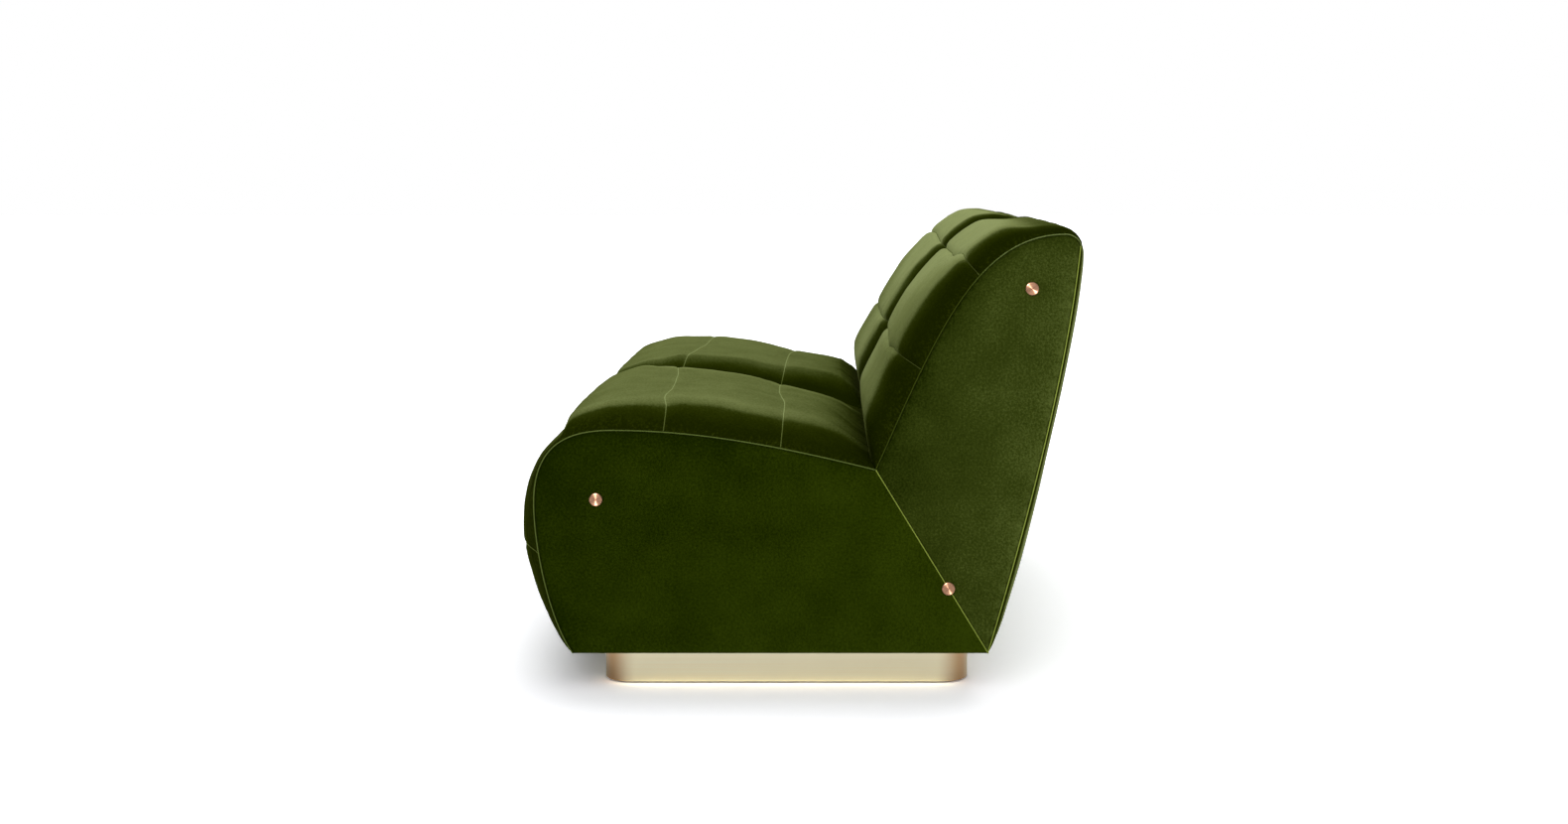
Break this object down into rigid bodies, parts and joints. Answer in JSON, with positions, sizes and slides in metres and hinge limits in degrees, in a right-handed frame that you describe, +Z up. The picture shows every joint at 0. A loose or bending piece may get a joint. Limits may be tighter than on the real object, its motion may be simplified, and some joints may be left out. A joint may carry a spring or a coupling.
{
  "type": "loveseat",
  "caption": "Armless velvet loveseat with channelled crowned seat and back cushions, flat side panels with piping and turned metal buttons, on a recessed brass plinth.",
  "frame": {"origin": "on the floor, under the centre of the bounding box", "axes": "+X across the width towards the sitter's left, the front faces -Y, +Z up"},
  "size_m": [1.509, 0.961, 0.785],
  "materials": {
    "velvet": "matte",
    "velvet_side": "matte",
    "piping": "matte",
    "brass_plinth": "satin",
    "copper": "satin",
    "steel": "satin",
    "timber": "matte",
    "plywood": "matte",
    "foam": "matte",
    "webbing": "matte",
    "lining": "matte",
    "felt": "matte"
  },
  "bodies": {
    "root": {"plinth_shell": "brass_plinth", "plinth_frame": "timber", "plinth_top_board": "plywood", "plinth_base_board": "plywood", "floor_glides": "felt", "plinth_bolts": "steel", "dust_cover": "lining", "seat_bottom_boards": "plywood", "seat_rib_left": "plywood", "seat_rib_centre": "plywood", "seat_rib_right": "plywood", "seat_front_boards": "plywood", "seat_nose_rails": "timber", "seat_rear_rails": "timber", "corner_blocks": "timber", "seat_webbing": "webbing", "seat_foam_left": "foam", "seat_foam_right": "foam", "seat_cushion_left": "velvet", "seat_cushion_right": "velvet", "seat_side_panel_left": "velvet_side", "seat_side_panel_right": "velvet_side", "seat_piping_left": "piping", "seat_piping_right": "piping", "back_rib_left": "plywood", "back_rib_centre": "plywood", "back_rib_right": "plywood", "back_top_rails": "timber", "back_mid_rails": "timber", "back_lower_rails": "timber", "back_webbing": "webbing", "back_foam_left": "foam", "back_foam_right": "foam", "back_cushion_left": "velvet", "back_cushion_right": "velvet", "back_side_panel_left": "velvet_side", "back_side_panel_right": "velvet_side", "back_piping_left": "piping", "back_piping_right": "piping", "outside_back_panel": "velvet", "block_bolts": "steel", "side_buttons": "copper", "button_studs": "steel", "button_nuts": "steel"}
  },
  "joints": []
}
